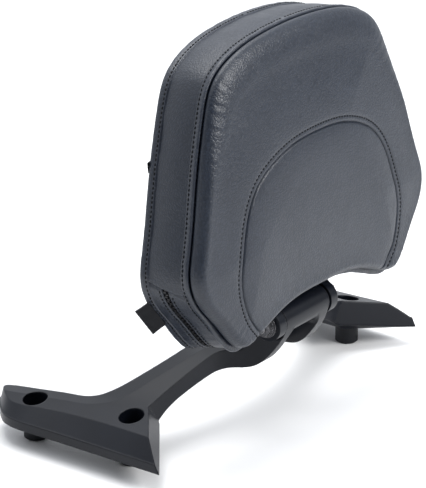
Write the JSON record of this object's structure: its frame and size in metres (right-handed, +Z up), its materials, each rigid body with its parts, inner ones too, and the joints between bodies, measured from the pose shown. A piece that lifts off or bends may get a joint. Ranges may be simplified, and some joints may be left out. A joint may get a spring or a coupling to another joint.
{
  "type": "motorcycle driver backrest",
  "caption": "Padded driver backrest with a crowned vinyl pad that folds forward on a hinge above a cast two-footed mounting bracket.",
  "frame": {"origin": "midway between the two front foot holes, on the plane of the spacers' undersides", "axes": "+X to the rider's right, -Y towards the rider's back, +Z up"},
  "size_m": [0.3358, 0.1938, 0.3075],
  "materials": {
    "black_cast": "satin black powder coat",
    "spacer": "matt black",
    "bolt_steel": "black oxide",
    "barrel_steel": "satin black",
    "bush": "moulded",
    "board": "plywood",
    "screw_zinc": "zinc",
    "foam": "foam",
    "vinyl": "grained upholstery vinyl",
    "seam": "folded seam",
    "zip_tape": "woven tape",
    "zip_metal": "black enamel",
    "binding": "woven elastic",
    "tag": "woven"
  },
  "bodies": {
    "base": {"mount_bracket": "black_cast", "front_left_spacer": "spacer", "front_right_spacer": "spacer", "rear_left_spacer": "spacer", "rear_right_spacer": "spacer", "left_bushing": "bush", "right_bushing": "bush"},
    "pad": {"hinge_bolt": "bolt_steel", "hinge_nut": "bolt_steel", "head_washer": "bolt_steel", "nut_washer": "bolt_steel", "support_plate": "barrel_steel", "backing_board": "board", "board_screws": "screw_zinc", "tee_nuts": "screw_zinc", "foam_core": "foam", "face_panel": "vinyl", "face_border": "vinyl", "front_seam_lip": "seam", "rear_seam_lip": "seam", "side_band": "vinyl", "zip_strip_front": "vinyl", "zip_strip_rear": "vinyl", "zip_chain": "zip_tape", "back_panel": "vinyl", "rear_pocket": "vinyl", "pocket_binding": "binding", "side_tag": "tag"},
    "zip_slider": {"zip_slider": "zip_metal"},
    "zip_pull": {"zip_pull": "zip_metal"}
  },
  "joints": [
    {"name": "backrest_fold", "type": "hinge", "parent": "base", "child": "pad", "pos_m": [0, -0.0465, 0.0842], "axis": [1, 0, 0], "range_deg": [0, 85]},
    {"name": "zip_travel", "type": "slide", "parent": "pad", "child": "zip_slider", "axis": [-0.6243, -0.0857, -0.7765], "range_m": [0, 0.028]},
    {"name": "pull_swing", "type": "hinge", "parent": "zip_slider", "child": "zip_pull", "pos_m": [0.13363, -0.03623, 0.11812], "axis": [0, -0.994, 0.1097], "range_deg": [-30, 100]}
  ]
}
